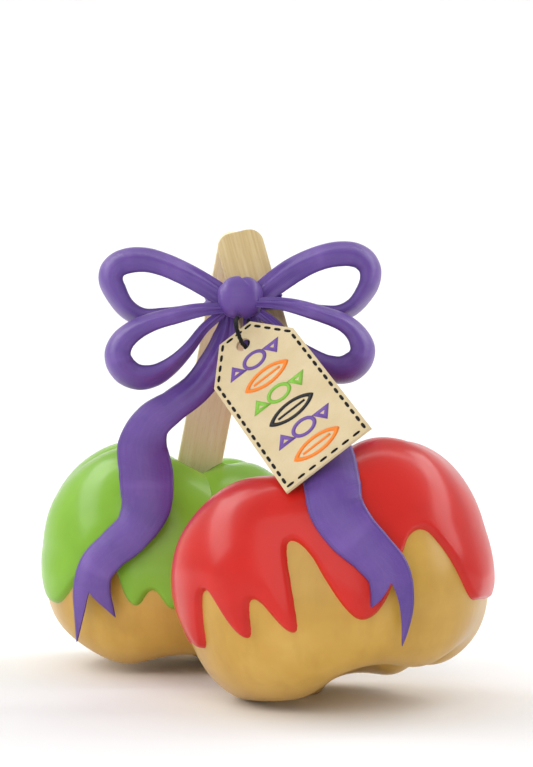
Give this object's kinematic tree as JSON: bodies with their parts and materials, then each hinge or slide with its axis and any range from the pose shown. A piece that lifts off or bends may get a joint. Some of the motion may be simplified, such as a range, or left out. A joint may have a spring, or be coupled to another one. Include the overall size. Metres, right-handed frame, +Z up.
{
  "type": "toffee apple pair",
  "caption": "Caramel-covered toffee apples dipped in red and green candy, on flat wooden sticks tied with a purple ribbon bow and a card tag.",
  "frame": {"origin": "on the ground, under the middle of the pair's bounds", "axes": "+Z up; -Y is the front, with the tag and the red apple; +X is to the right seen from the front"},
  "size_m": [0.1247, 0.1429, 0.1254],
  "materials": {
    "caramel": "glossy set caramel",
    "red_candy": "glossy hard candy",
    "green_candy": "glossy hard candy",
    "stick": "plain birch",
    "ribbon": "satin",
    "card": "uncoated card, stands in for paper board",
    "string": "twisted black cotton"
  },
  "bodies": {
    "root": {"red_apple_caramel": "caramel", "red_apple_candy": "red_candy", "red_apple_stick": "stick", "green_apple_caramel": "caramel", "green_apple_candy": "green_candy", "green_apple_stick": "stick", "bow_knot": "ribbon", "bow_wrap": "ribbon", "bow_loop_upper_left": "ribbon", "bow_loop_lower_left": "ribbon", "bow_loop_upper_right": "ribbon", "bow_loop_lower_right": "ribbon", "bow_tail_left": "ribbon", "bow_tail_right": "ribbon", "tag": "card", "tag_string": "string"}
  },
  "joints": []
}
